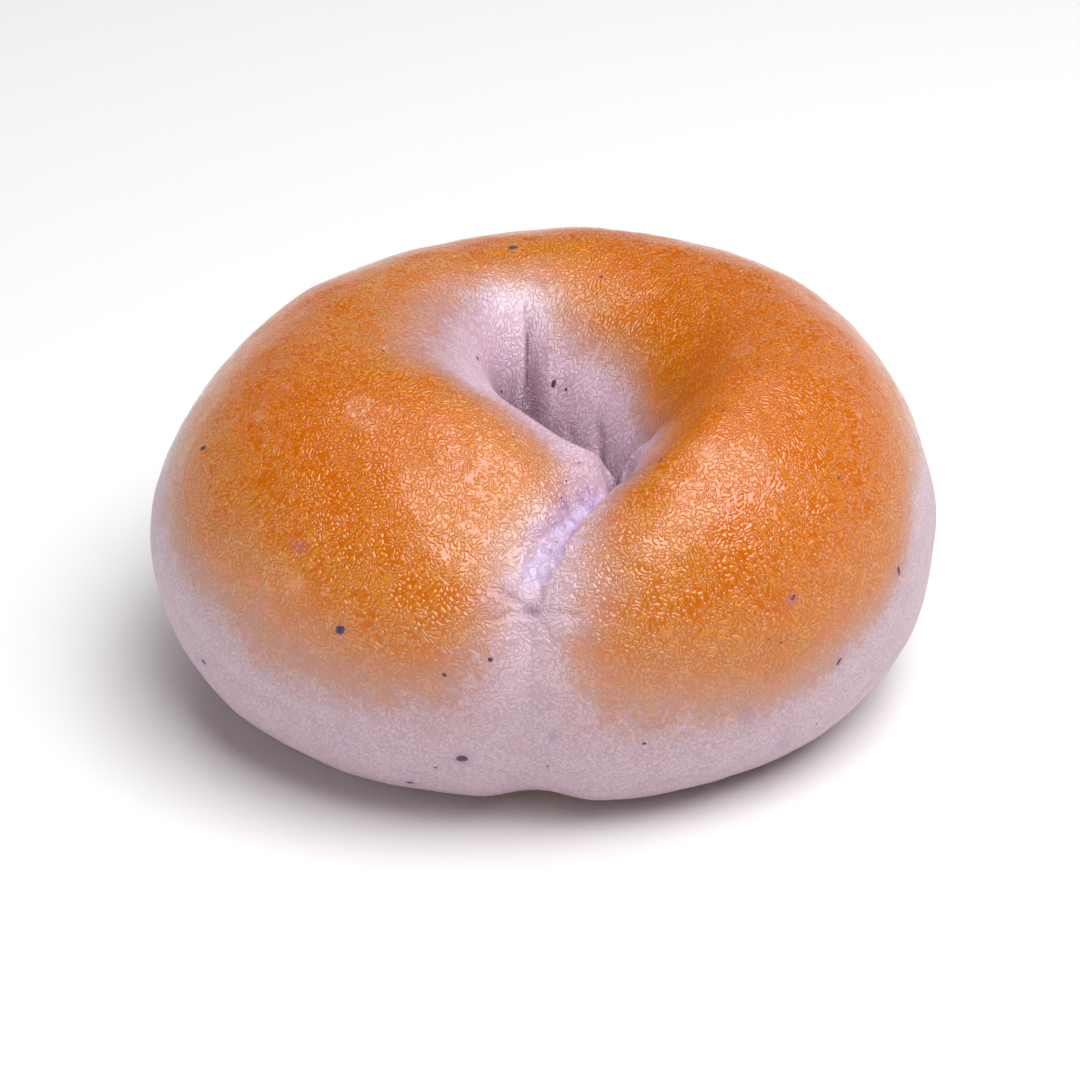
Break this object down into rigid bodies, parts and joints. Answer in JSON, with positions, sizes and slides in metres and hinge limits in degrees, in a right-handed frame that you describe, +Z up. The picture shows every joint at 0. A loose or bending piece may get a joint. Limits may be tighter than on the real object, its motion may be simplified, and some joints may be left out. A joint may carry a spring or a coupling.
{
  "type": "bagel",
  "caption": "Plump ring of baked bread with its hole pinched shut to a dimple, lying on its flat underside, to slice or eat.",
  "frame": {"origin": "middle of the flat underside, at the centre of the plan", "axes": "+Z up through the dimple, -Y to the front where the ends of the rope join, +X to the right seen from the front"},
  "size_m": [0.0986, 0.0962, 0.0468],
  "materials": {
    "crust": "egg-gloss, wrinkled, browned on top and pale lilac below"
  },
  "bodies": {
    "root": {"bagel": "crust"}
  },
  "joints": []
}
